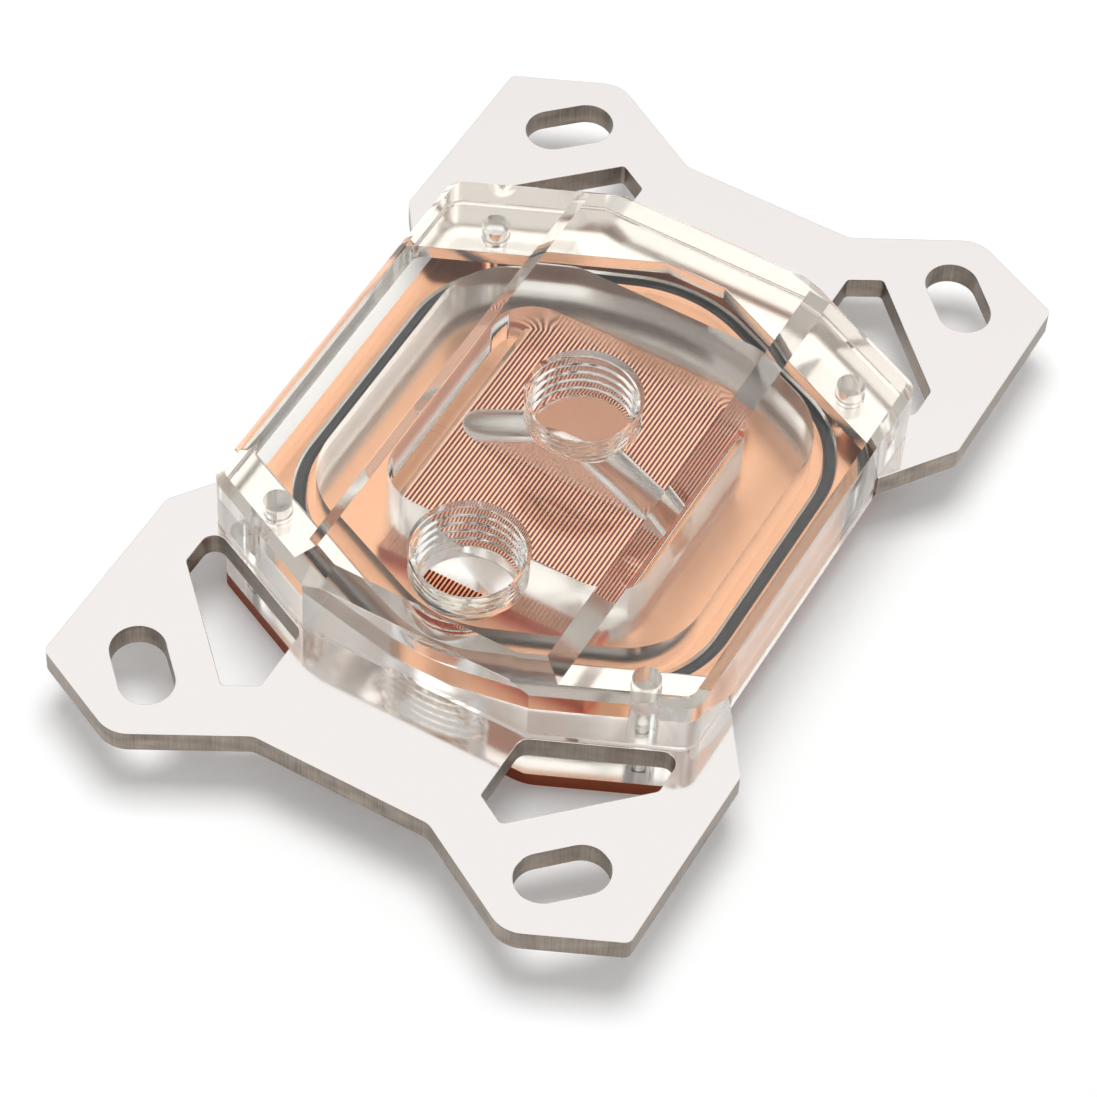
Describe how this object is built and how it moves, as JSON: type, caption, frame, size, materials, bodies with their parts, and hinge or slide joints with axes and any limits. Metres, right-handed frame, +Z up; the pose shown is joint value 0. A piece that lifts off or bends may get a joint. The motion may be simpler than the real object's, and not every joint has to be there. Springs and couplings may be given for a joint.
{
  "type": "processor water block",
  "caption": "Clear processor water block: ported acrylic block over a copper plate with microfins, between slotted steel bracket wings.",
  "frame": {"origin": "centre of the cold plate's underside, where it meets the processor", "axes": "+Z up out of the ports, +Y along the long way of the bracket from the outlet to the inlet"},
  "size_m": [0.0718, 0.1106, 0.0194],
  "materials": {
    "clear_acrylic": "polished clear acrylic",
    "copper": "polished bare copper",
    "polished_steel": "polished",
    "screw_steel": "plain",
    "black_rubber": "matte"
  },
  "bodies": {
    "root": {"clear_top": "clear_acrylic", "cold_plate": "copper", "bracket_wing_back": "polished_steel", "bracket_wing_front": "polished_steel", "main_seal": "black_rubber", "screws": "screw_steel"}
  },
  "joints": []
}
